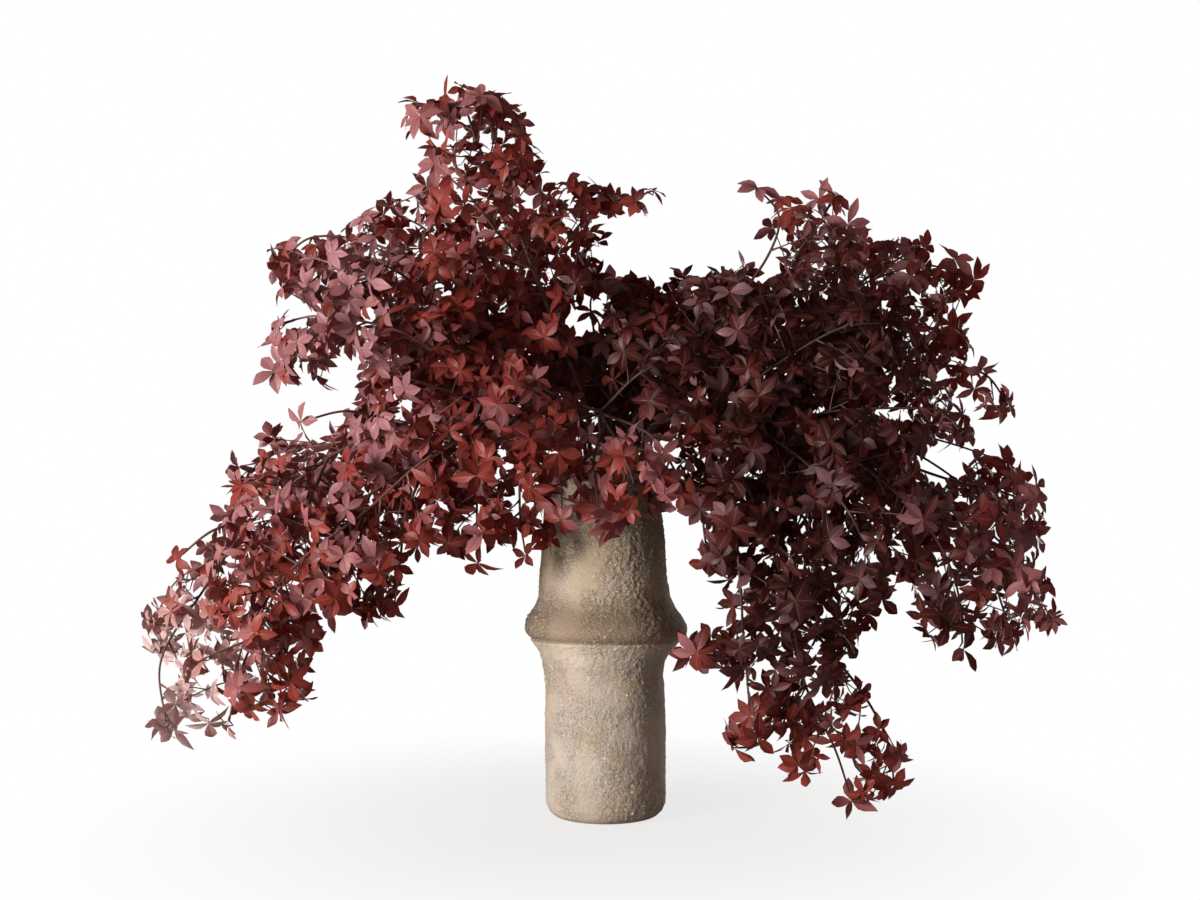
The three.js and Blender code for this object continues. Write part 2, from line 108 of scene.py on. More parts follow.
for sign, operation in (("add", "ADD"), ("sub", "SUBTRACT"), ("mul", "MULTIPLY")):
    setattr(Value, f"__{sign}__", lambda a, b, kind=operation: a.graph.maths(kind, a, b))
    setattr(Value, f"__r{sign}__", lambda a, b, kind=operation: a.graph.maths(kind, b, a))


class Outputs:  # a node's outputs by name, each as a Value
    def __init__(self, graph, node):
        self.graph = graph
        self.node = node

    def __getitem__(self, name):
        return Value(self.graph, self.node.outputs[name])


class Graph:  # one node tree, for materials and for geometry
    def __init__(self, tree):
        self.tree = tree

    def add(self, kind, settings=None, inputs=None):
        node = self.tree.nodes.new(kind)
        for name, value in (settings or {}).items():
            if name == "ramp":
                self.setRamp(node.color_ramp, value)
            else:
                setattr(node, name, value)
        for name, value in (inputs or {}).items():
            self.feed(node.inputs[name], value)
        return Outputs(self, node)

    def feed(self, socket, value):
        if isinstance(value, Value):
            self.tree.links.new(value.socket, socket)
        elif isinstance(value, tuple) and len(value) == 3 and socket.type == "RGBA":
            socket.default_value = (*value, 1)
        else:
            socket.default_value = value

    def setRamp(self, ramp, stops):
        while len(ramp.elements) < len(stops):
            ramp.elements.new(0.5)
        for element, (position, colour) in zip(ramp.elements, stops):
            element.position = position
            element.color = (*colour, 1)

    def maths(self, operation, first, second=0.0):
        return self.add("ShaderNodeMath", {"operation": operation}, {0: first, 1: second})["Value"]

    def attribute(self, name):
        return self.add("ShaderNodeAttribute", {"attribute_name": name})["Fac"]

    def named(self, name, kind="FLOAT"):  # the attribute in Geometry Nodes
        node = self.add("GeometryNodeInputNamedAttribute", {"data_type": kind}, {"Name": name})
        return node["Attribute"]

    def ramp(self, factor, stops):
        return self.add("ShaderNodeValToRGB", {"ramp": stops}, {"Fac": factor})["Color"]

    def blend(self, factor, first, second):
        node = self.add("ShaderNodeMix", {"data_type": "RGBA"}, {"Factor": factor}).node
        colours = [socket for socket in node.inputs if socket.type == "RGBA"]
        self.feed(colours[0], first)
        self.feed(colours[1], second)
        return Value(self, [socket for socket in node.outputs if socket.type == "RGBA"][0])

    def noise(self, place, scale, detail=2.0, roughness=0.5):
        inputs = {"Vector": place, "Scale": scale, "Detail": detail, "Roughness": roughness}
        return self.add("ShaderNodeTexNoise", None, inputs)["Fac"]

    def axes(self, place):
        return self.add("ShaderNodeSeparateXYZ", None, {"Vector": place})

    def cells(self, place, scale):
        return self.add("ShaderNodeTexVoronoi", None, {"Vector": place, "Scale": scale})

    def bump(self, height, strength, distance):
        inputs = {"Height": height, "Strength": strength, "Distance": distance}
        return self.add("ShaderNodeBump", None, inputs)["Normal"]


def newMaterial(name):
    material = bpy.data.materials.new(name)
    material.use_nodes = True
    material.node_tree.nodes.clear()
    return material, Graph(material.node_tree)


def finishMaterial(graph, inputs, through=None):  # through: colour and share of the light let through
    shader = graph.add("ShaderNodeBsdfPrincipled", None, inputs)["BSDF"]
    if through:
        passed = graph.add("ShaderNodeBsdfTranslucent", None, {"Color": (*through[0], 1)})["BSDF"]
        mix = graph.add("ShaderNodeMixShader", None, {"Fac": through[1], 1: shader, 2: passed})
        shader = mix["Shader"]
    graph.add("ShaderNodeOutputMaterial", None, {"Surface": shader})


# Leaf: wine red to rust, each whorl and leaflet a little different, with a pale midrib; some whorls
# have a mauve bloom that is partly painted sheen, the outermost leaves at the left are faded and
# paler with painted light, those in the heart are darker with painted shade, and the outer leaves
# are lighter with painted light
leafFinish = {
    "tones": [
        (0.0, (0.046, 0.011, 0.010)), (0.3, (0.115, 0.017, 0.014)), (0.55, (0.200, 0.026, 0.020)),
        (0.8, (0.300, 0.038, 0.028)), (1.0, (0.350, 0.058, 0.042)),
    ],
    "tone": 0.23,
    "toneShares": {
        "whorl": 0.55, "leaflet": 0.20, "mottle": 0.35, "patch": 0.6, "light": 0.36, "heart": -0.34,
    },
    "heart": (0.034, 0.009, 0.008),
    "heartShare": 0.64,
    "bloom": (0.47, 0.245, 0.275),
    "bloomShares": {
        "whorlDraw": 0.75, "leafletDraw": 0.25, "left": 0.33, "light": 0.16, "pale": 0.20, "edge": 0.26,
    },
    "bloomFrom": (0.72, 0.86),
    "faded": (0.93, 0.70, 0.69),
    "fadeFrom": (0.45, 0.95),
    "rib": (0.40, 0.15, 0.12),
    "ribWidth": (0.02, 0.10),
    "ribEnd": (0.75, 1.0),
    "veins": 46,
    "veinSlant": 9,
    "point": (0.05, 0.014, 0.010),
    "pointFrom": (0.86, 1.0),
    "mottleScale": 150,
    "patchScale": 8,
    "roughness": 0.42,
    "sheen": 0.05,
    "sheenRoughness": 0.45,
    "sheenTint": (1.0, 0.62, 0.66),
    "specular": 0.32,
    "through": ((0.46, 0.065, 0.040), 0.36),
}

# Regions of the foliage in metres: a soft step along an axis for each side, down where its limits fall.
# They place painted light and shade: the heart and the shade region get painted shade, and the outer
# leaves at the right, at the top and at the left get painted light and sheen
leafZones = {
    "heart": [("X", -0.07, 0.02), ("X", 0.36, 0.27), ("Z", 0.05, 0.15), ("Z", 0.56, 0.47)],
    "lip": [("Y", -0.05, -0.09), ("X", 0.10, 0.05), ("Z", 0.37, 0.32)],
    "lipRight": [("X", -0.06, 0.0)],
    "shade": [("X", 0.32, 0.20), ("X", -0.28, -0.12), ("Z", 0.56, 0.48), ("Z", 0.10, 0.22)],
    "left": [("X", -0.05, -0.24), ("Z", 0.18, 0.34)],
    "edgeRight": [("X", 0.24, 0.34), ("Z", 0.42, 0.36)],
    "edgeHigh": [("X", 0.08, 0.14), ("Z", 0.49, 0.54)],
    "outer": [("X", -0.22, -0.38)],
    "outerHigh": [("Z", 0.14, 0.22)],
}


def zone(axes, name):
    mask = 1
    for axis, start, end in leafZones[name]:
        mask = axes[axis].between(start, end) * mask
    return mask


def weighed(parts, shares):
    return sum(parts[name] * share for name, share in shares.items())


def leafMaterial():
    material, graph = newMaterial("leaf")
    place = graph.add("ShaderNodeTexCoord")["Object"]
    axes = graph.axes(place)
    whorl = graph.attribute("tone")
    leaflet = graph.attribute("leaflet")
    across = graph.attribute("across").size()
    along = graph.attribute("along")
    mottle = graph.noise(place, leafFinish["mottleScale"], 3)
    patch = graph.noise(place, leafFinish["patchScale"], 2)
    lip = zone(axes, "lip")
    # painted shade: the heart of the foliage, apart from the front lip, is darkened
    heart = zone(axes, "heart") * (1 - lip)
    # painted light: the right part of the front lip is treated as lit
    pale = lip * zone(axes, "lipRight")
    # painted light: leaves outside the shade region, and on the right of the front lip, are made lighter
    light = 1 - zone(axes, "shade") * (1 - pale)
    left = zone(axes, "left")
    edge = zone(axes, "edgeRight") + zone(axes, "edgeHigh")
    parts = {
        "whorl": whorl, "leaflet": leaflet, "mottle": mottle - 0.5, "patch": patch - 0.5, "light": light,
        "heart": heart, "pale": pale, "left": left, "edge": edge,
        "whorlDraw": (whorl * 7.31).fraction(), "leafletDraw": (leaflet * 5.7).fraction(),
    }
    shade = weighed(parts, leafFinish["toneShares"]) + leafFinish["tone"]
    colour = graph.ramp(shade, leafFinish["tones"])
    # painted shade: leaves in the heart are blended towards a deep wine red
    colour = graph.blend(heart * leafFinish["heartShare"], colour, leafFinish["heart"])
    # the mauve bloom is partly the leaves' own colour and partly painted sheen, chosen more often where
    # painted light falls: on the left, on the outer edges and on the right of the front lip
    chosen = weighed(parts, leafFinish["bloomShares"]).between(*leafFinish["bloomFrom"])
    bloom = chosen * (0.45 + 0.25 * left + 0.15 * edge) * (0.45 + 0.55 * patch + 0.3 * mottle)
    colour = graph.blend(bloom, colour, leafFinish["bloom"])
    # the outermost leaves low at the left are faded, and paler still with painted light where the light
    # falls strongest
    outer = zone(axes, "outer") * (1 - zone(axes, "outerHigh") * 0.55)
    fade = outer * 0.75 + (whorl * 3.7 + leaflet * 0.4).fraction() * 0.5
    fade = fade.between(*leafFinish["fadeFrom"]) * outer * (0.6 + mottle * 0.5)
    colour = graph.blend(fade, colour, leafFinish["faded"])
    veins = (along * leafFinish["veins"] - across * leafFinish["veinSlant"]).wave().between(0.72, 1.0)
    veins = veins * (1 - across) * 0.25
    rib = (1 - across.between(*leafFinish["ribWidth"])) * (1 - along.between(*leafFinish["ribEnd"]))
    colour = graph.blend(veins + rib * 0.5, colour, leafFinish["rib"])
    colour = graph.blend(along.between(*leafFinish["pointFrom"]) * 0.35, colour, leafFinish["point"])
    height = rib * 0.6 + veins * 0.5 + mottle * 0.35
    finishMaterial(graph, {
        "Base Color": colour,
        "Roughness": leafFinish["roughness"] + (mottle - 0.5) * 0.28,
        "Specular IOR Level": leafFinish["specular"],
        "Sheen Weight": leafFinish["sheen"],
        "Sheen Roughness": leafFinish["sheenRoughness"],
        "Sheen Tint": leafFinish["sheenTint"],
        "Normal": graph.bump(height, 0.5, 0.0004),
    }, leafFinish["through"])
    return material


# Bark of the stems, shoots and twigs: dark red brown, with pale stretches, and darker to the right with
# painted shade
barkFinish = {
    "tones": [
        (0.0, (0.050, 0.017, 0.014)), (0.45, (0.18, 0.066, 0.050)), (0.8, (0.33, 0.15, 0.11)),
        (1.0, (0.52, 0.33, 0.26)),
    ],
    "darkRight": (-0.16, 0.06),
    "roughness": 0.62,
}


def barkMaterial():
    material, graph = newMaterial("bark")
    place = graph.add("ShaderNodeTexCoord")["Object"]
    grain = graph.noise(place, 220, 4)
    patch = graph.noise(place, 30, 2)
    # painted shade: the bark is darker towards the right
    rightShade = graph.axes(place)["X"].between(*barkFinish["darkRight"])
    shade = graph.attribute("tone") * 0.75 + (grain - 0.5) * 0.5 + (patch - 0.5) * 0.5 - rightShade * 0.38
    finishMaterial(graph, {
        "Base Color": graph.ramp(shade, barkFinish["tones"]),
        "Roughness": barkFinish["roughness"] + (grain - 0.5) * 0.3,
        "Normal": graph.bump(grain, 0.6, 0.0006),
    })
    return material


# Clay: coarse and unglazed, grey-pink below the ring and ochre above it, with pits, crumbs and a few
# glinting grains. Its colour also holds painted light and shade: painted shade on the upper body, on a
# band round the ring (beside a stain) and in the hollows and pits, a ledge under the ring lighter with
# painted light, and the grains' glints painted near white
clayFinish = {
    "lower": (0.49, 0.412, 0.345),
    "upper": (0.44, 0.345, 0.242),
    "upperFrom": (0.135, 0.185),
    "rose": (0.50, 0.385, 0.325),
    "grey": (0.43, 0.385, 0.340),
    "ochre": (0.48, 0.38, 0.245),
    "stain": (0.24, 0.165, 0.110),
    "stainHeight": 0.172,
    "worn": (0.72, 0.62, 0.50),
    "wornFrom": (0.134, 0.150),
    "wornTo": (0.1565, 0.1585),
    "dirt": (0.36, 0.275, 0.205),
    "pit": (0.26, 0.180, 0.120),
    "crumb": (0.70, 0.61, 0.49),
    "glint": (0.92, 0.89, 0.84),
    "roughness": 0.86,
}


def clayMaterial():
    material, graph = newMaterial("clay")
    place = graph.add("ShaderNodeTexCoord")["Object"]
    z = graph.axes(place)["Z"]
    # above the ring the clay is ochre and also darker; the darkening is painted shade under the foliage
    above = (z + (graph.noise(place, 30, 2) - 0.5) * 0.05).between(*clayFinish["upperFrom"])
    colour = graph.blend(above, clayFinish["lower"], clayFinish["upper"])
    roseMask = graph.noise(place, 17, 3).between(0.46, 0.62) * (0.8 - above * 0.5)
    colour = graph.blend(roseMask, colour, clayFinish["rose"])
    greyMask = graph.noise(place, 36, 4).between(0.50, 0.66) * (0.75 - above * 0.35)
    colour = graph.blend(greyMask, colour, clayFinish["grey"])
    ochreMask = graph.noise(place, 27, 3, 0.6).between(0.52, 0.66) * 0.7
    colour = graph.blend(ochreMask, colour, clayFinish["ochre"])
    # a dark band round the ring: partly a stain, partly painted shade from the foliage above and the
    # crease
    stain = (z - clayFinish["stainHeight"]).size()
    stain = (1 - stain.between(0.008, 0.034)) * (0.62 + 0.6 * graph.noise(place, 24, 3))
    colour = graph.blend(stain, colour, clayFinish["stain"])
    # painted light: a lighter band on the ledge just under the ring
    worn = z.between(*clayFinish["wornFrom"]) * (1 - z.between(*clayFinish["wornTo"]))
    colour = graph.blend(worn * 0.85, colour, clayFinish["worn"])
    # darker towards the bottom, and in blotches
    dirt = (1 - z.between(0.0, 0.035)) * 0.45 + graph.noise(place, 14, 3).between(0.44, 0.58) * 0.30
    colour = graph.blend(dirt, colour, clayFinish["dirt"])
    grit = graph.noise(place, 620, 2, 0.6)
    lump = graph.noise(place, 170, 3, 0.6)
    bare = graph.noise(place, 22, 2).between(0.40, 0.60)
    gritty = 0.15 + 0.85 * bare * (0.60 + 0.40 * above)
    crumbs = grit.between(0.53, 0.60)
    pits = 1 - grit.between(0.38, 0.45)
    colour = graph.blend(crumbs * gritty * 0.5, colour, clayFinish["crumb"])
    # painted shade: darker in the hollows of the lumps and in the pits
    shadedHollows = (1 - lump.between(0.30, 0.42)) * 0.3 + pits * gritty * 0.7
    colour = graph.blend(shadedHollows, colour, clayFinish["pit"])
    cells = graph.cells(place, 210.0)
    core = 1 - cells["Distance"].between(0.20, 0.36)
    red = graph.add("ShaderNodeSeparateColor", None, {"Color": cells["Color"]})["Red"]
    pick = red.between(0.86, 0.87)
    cluster = graph.noise(place, 26, 2).between(0.52, 0.60)
    glint = core * pick * cluster * (1 - above * 0.7)
    # painted highlight: the glinting grains are coloured near white, as well as made glossy
    colour = graph.blend(glint * 0.9, colour, clayFinish["glint"])
    streak = graph.add("ShaderNodeMapping", None, {
        "Vector": place, "Rotation": (0.35, 0.2, 0.0), "Scale": (60, 60, 420)})["Vector"]
    scratches = graph.noise(streak, 1.0, 2).between(0.60, 0.74)
    height = (crumbs * 0.6 - pits * 0.9) * gritty + lump * 0.6 + scratches * 0.25 + glint * 0.6
    finishMaterial(graph, {
        "Base Color": colour,
        "Roughness": clayFinish["roughness"] - glint * 0.66 + (grit - 0.5) * 0.2,
        "Normal": graph.bump(height, 1.0, 0.0016),
    })
    return material


print("materials")
leaf = leafMaterial()
bark = barkMaterial()
clay = clayMaterial()


def newTree(name, inputs):  # a Geometry Nodes tree with named inputs
    tree = bpy.data.node_groups.new(name, "GeometryNodeTree")
    tree.interface.new_socket("Geometry", in_out="INPUT", socket_type="NodeSocketGeometry")
    tree.interface.new_socket("Geometry", in_out="OUTPUT", socket_type="NodeSocketGeometry")
    for label, kind in inputs.items():
        tree.interface.new_socket(label, in_out="INPUT", socket_type=kind)
    graph = Graph(tree)
    graph.inlet = graph.add("NodeGroupInput")
    return graph, graph.inlet


def endTree(graph, geometry):
    shown = graph.add("GeometryNodeRealizeInstances", None, {"Geometry": geometry})["Geometry"]
    inputs = {"Geometry": shown, "Material": graph.inlet["Material"]}
    finish = graph.add("GeometryNodeSetMaterial", None, inputs)["Geometry"]
    graph.add("NodeGroupOutput", None, {"Geometry": finish})
    return graph.tree


def grown(piece, tree, values):  # the piece with the tree's result as its plain mesh
    modifier = piece.modifiers.new(tree.name, "NODES")
    modifier.node_group = tree
    for item in tree.interface.items_tree:
        if item.in_out == "INPUT" and item.name in values:
            modifier[item.identifier] = values[item.name]
    depsgraph = bpy.context.evaluated_depsgraph_get()
    mesh = bpy.data.meshes.new_from_object(piece.evaluated_get(depsgraph), depsgraph=depsgraph)
    piece.modifiers.clear()
    piece.data = mesh
    mesh.name = piece.name
    return piece


def newPiece(name, vertices, edges=(), faces=()):
    mesh = bpy.data.meshes.new(name)
    mesh.from_pydata([tuple(v) for v in vertices], list(edges), list(faces))
    return newObject(name, mesh)


def setAttribute(mesh, name, kind, values):
    attribute = mesh.attributes.new(name, kind, "POINT")
    field = "vector" if kind == "FLOAT_VECTOR" else "value"
    attribute.data.foreach_set(field, np.asarray(values).ravel())


# Vase
vaseForm = {
    "height": 320,
    "wall": 54,
    "ring": 73,
    "ringHeight": 168,
    "ringTilt": 0.015,
    "waistHeight": 134,
    "waistShift": -1.9,
    "neckShift": -2.2,
    "shoulder": 58,
    "rim": 51,
    "thickness": 7,
    "floor": 12,
    "columns": 300,
    "rowStep": 1.3,
    "innerStep": 12.0,
    "softening": 1.6,
    "relief": {"Wobble": 0.0026, "Lump": 0.0018, "Grit": 0.0008, "Crumb": 0.0009},
}


def vaseProfile():
    wall, ring, shoulder, rim = (vaseForm[key] for key in ("wall", "ring", "shoulder", "rim"))
    height, ringHeight = vaseForm["height"], vaseForm["ringHeight"]
    bore, well, floor = rim - vaseForm["thickness"], wall - vaseForm["thickness"], vaseForm["floor"]
    outside = [
        (42, 0), (47, 1.2), (51, 5), (wall - 0.5, 11), (wall, 18), (wall, 90), (wall - 0.7, 112),
        (wall - 1, 126), (wall + 1, 138), (wall + 5, 147), (wall + 10, 153.5), (wall + 12.6, 156.3),
        (wall + 12.8, 158.0), (wall + 12.2, 158.9), (ring - 4.2, 160.2), (ring - 1, 163.5),
        (ring, ringHeight), (ring - 0.8, 172), (ring - 3.2, 177), (shoulder + 5, 186),
        (shoulder + 1, 195), (shoulder - 1, 215), (shoulder - 3, 250), (rim, 290), (rim, height - 4),
        (rim - 1, height - 1.2), (rim - 3.4, height),
    ]
    inner = [
        (bore + 2.5, height), (bore + 0.5, height - 1.5), (bore, height - 5), (bore, 290), (well, 200),
        (well, floor + 6), (well - 6, floor),
    ]
    return outside, inner


def softened(points, step):  # the points' line, rounded over a few millimetres, at even steps
    points = np.array(points, float)
    run = np.concatenate([[0], np.cumsum(np.linalg.norm(np.diff(points, axis=0), axis=1))])
    fine = np.linspace(0, run[-1], int(run[-1] / 0.25))
    line = np.stack([np.interp(fine, run, points[:, i]) for i in range(2)], axis=1)
    reach = int(vaseForm["softening"] / 0.25)
    kernel = np.hanning(2 * reach + 1)
    kernel /= kernel.sum()
    padded = np.pad(line, ((reach, reach), (0, 0)), mode="reflect", reflect_type="odd")
    line = np.stack([np.convolve(padded[:, i], kernel, "valid") for i in range(2)], axis=1)
    count = int(run[-1] / step)
    return line[np.linspace(0, len(line) - 1, count).astype(int)]


def vaseGrid():
    outside, inner = vaseProfile()
    steps = vaseForm["rowStep"], vaseForm["innerStep"]
    rows = np.concatenate([softened(outside, steps[0]), softened(inner, steps[1])])
    columns = vaseForm["columns"]
    angle = np.arange(columns) * 2 * math.pi / columns
    radius, height = rows[:, :1], rows[:, 1:]
    x = radius * np.cos(angle)
    y = radius * np.sin(angle)
    z = height - vaseForm["ringTilt"] * x * np.exp(-((height - vaseForm["ringHeight"]) / 25) ** 2)
    x = x + vaseForm["waistShift"] * np.exp(-((height - vaseForm["waistHeight"]) / 16) ** 2)
    x = x + vaseForm["neckShift"] / (1 + np.exp((200 - height) / 10))
    vertices = np.stack([x, y, z], axis=2).reshape(-1, 3)
    count = len(rows)
    grid = np.arange(count * columns).reshape(count, columns)
    turned = np.roll(grid, -1, axis=1)
    faces = np.stack([grid[:-1], turned[:-1], turned[1:], grid[1:]], axis=2).reshape(-1, 4).tolist()
    under, floor = len(vertices), len(vertices) + 1
    vertices = np.concatenate([vertices, [[0, 0, 0], [0, 0, vaseForm["floor"]]]])
    faces += [(under, b, a) for a, b in zip(grid[0].tolist(), turned[0].tolist())]
    faces += [(floor, a, b) for a, b in zip(grid[-1].tolist(), turned[-1].tolist())]
    return vertices * metres, faces


def clayTree():
    inputs = {name: "NodeSocketFloat" for name in (*vaseForm["relief"], "Ring Height")}
    graph, inlet = newTree("roughClay", {**inputs, "Material": "NodeSocketMaterial"})
    place = graph.add("GeometryNodeInputPosition")["Position"]
    normal = graph.add("GeometryNodeInputNormal")["Normal"]
    z = graph.axes(place)["Z"]
    above = (z - inlet["Ring Height"]).between(-0.02, 0.02)
    bare = graph.noise(place, 22, 2).between(0.38, 0.60)
    wobble = (graph.noise(place, 16, 1) - 0.5) * inlet["Wobble"]
    lump = (graph.noise(place, 80, 2) - 0.5) * inlet["Lump"] * (0.45 + 0.55 * bare)
    grit = graph.noise(place, 350, 2, 0.6).between(0.42, 0.60) - 0.5
    grit = grit * inlet["Grit"] * (0.25 + bare * (0.35 + 0.65 * above))
    cells = graph.cells(place, 230.0)
    pick = graph.noise(place, 70, 1).between(0.50, 0.60)
    crumb = (1 - cells["Distance"].between(0.05, 0.45)) * pick * inlet["Crumb"]
    standing = z.between(0.0008, 0.006)
    height = (wobble + lump + grit + crumb) * standing
    scaled = {"Vector": normal, "Scale": height}
    offset = graph.add("ShaderNodeVectorMath", {"operation": "SCALE"}, scaled)["Vector"]
    inputs = {"Geometry": inlet["Geometry"], "Offset": offset}
    moved = graph.add("GeometryNodeSetPosition", None, inputs)["Geometry"]
    return endTree(graph, graph.add("GeometryNodeSetShadeSmooth", None, {"Geometry": moved})["Geometry"])


def makeVase():
    vertices, faces = vaseGrid()
    piece = newPiece("vase_clay", vertices, (), faces)
    ringHeight = vaseForm["ringHeight"] * metres
    grown(piece, clayTree(), {**vaseForm["relief"], "Ring Height": ringHeight, "Material": clay})
    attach(piece, "root")
    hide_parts("vase")
    print("vase:", len(piece.data.polygons), "faces")


# Growth of the branches, by the same rule and the same draws as the solids
growth = {
    "trunkBare": 390,
    "lateralBare": 18,
    "shootGap": 13,
    "shootLength": 80,
    "shootTaper": 0.4,
    "shootStep": 10,
    "shootDroop": 0.03,
    "wander": 0.09,
    "whorlGap": 16.5,
    "endMargin": 6,
    "twigLength": 12,
    "leafletLength": 18.5,
    "leafReach": 8,
    "lowestLeaf": 24,
    "frontReach": -212,
    "backReach": 275,
    "vaseClearance": 24,
    "splineSteps": 10,
    "goldenAngle": 2.39996,
    "eyeBack": 1215,
    "eyeUp": 270,
}

# Edge of the foliage as the camera sees it against the plane y = 0: x, z
crownEdge = [
    [-85, 230], [-115, 215], [-150, 240], [-162, 238], [-178, 190], [-197, 168], [-232, 172],
    [-262, 150], [-270, 90], [-310, 70], [-375, 60], [-410, 80], [-410, 120], [-425, 165], [-395, 210],
    [-368, 240], [-350, 280], [-335, 330], [-290, 355], [-240, 348], [-228, 385], [-275, 375],
    [-312, 385], [-308, 445], [-310, 500], [-270, 536], [-212, 548], [-178, 564], [-155, 578],
    [-165, 605], [-195, 622], [-188, 648], [-150, 650], [-130, 670], [-75, 650], [-60, 590], [-5, 567],
    [58, 572], [52, 545], [10, 525], [2, 495], [55, 470], [70, 495], [125, 498], [145, 474], [152, 505],
    [125, 540], [135, 578], [172, 558], [218, 574], [232, 545], [240, 520], [305, 518], [350, 482],
    [322, 450], [335, 425], [375, 368], [340, 335], [375, 315], [398, 295], [400, 220], [412, 170],
    [390, 137], [350, 145], [320, 128], [275, 165], [255, 205], [250, 175], [215, 145], [230, 120],
    [258, 90], [275, 55], [268, 8], [220, -10], [175, 25], [150, 52], [100, 52], [105, 75], [122, 85],
    [116, 115], [70, 140], [70, 165], [105, 190], [88, 230], [75, 275], [40, 265], [-5, 240],
    [-50, 235],
]

# Gaps in the foliage, seen the same way: x, z and half widths
crownGaps = [
    [-16, 448, 23, 23], [252, 359, 14, 11], [302, 318, 28, 17], [-95, 224, 23, 27], [323, 366, 14, 14],
    [76, 242, 18, 31], [76, 192, 22, 22], [99, 539, 50, 54], [-228, 374, 10, 14], [-234, 403, 14, 10],
    [-185, 368, 13, 13], [-342, 88, 15, 14], [262, 198, 16, 24], [220, 39, 15, 15],
]

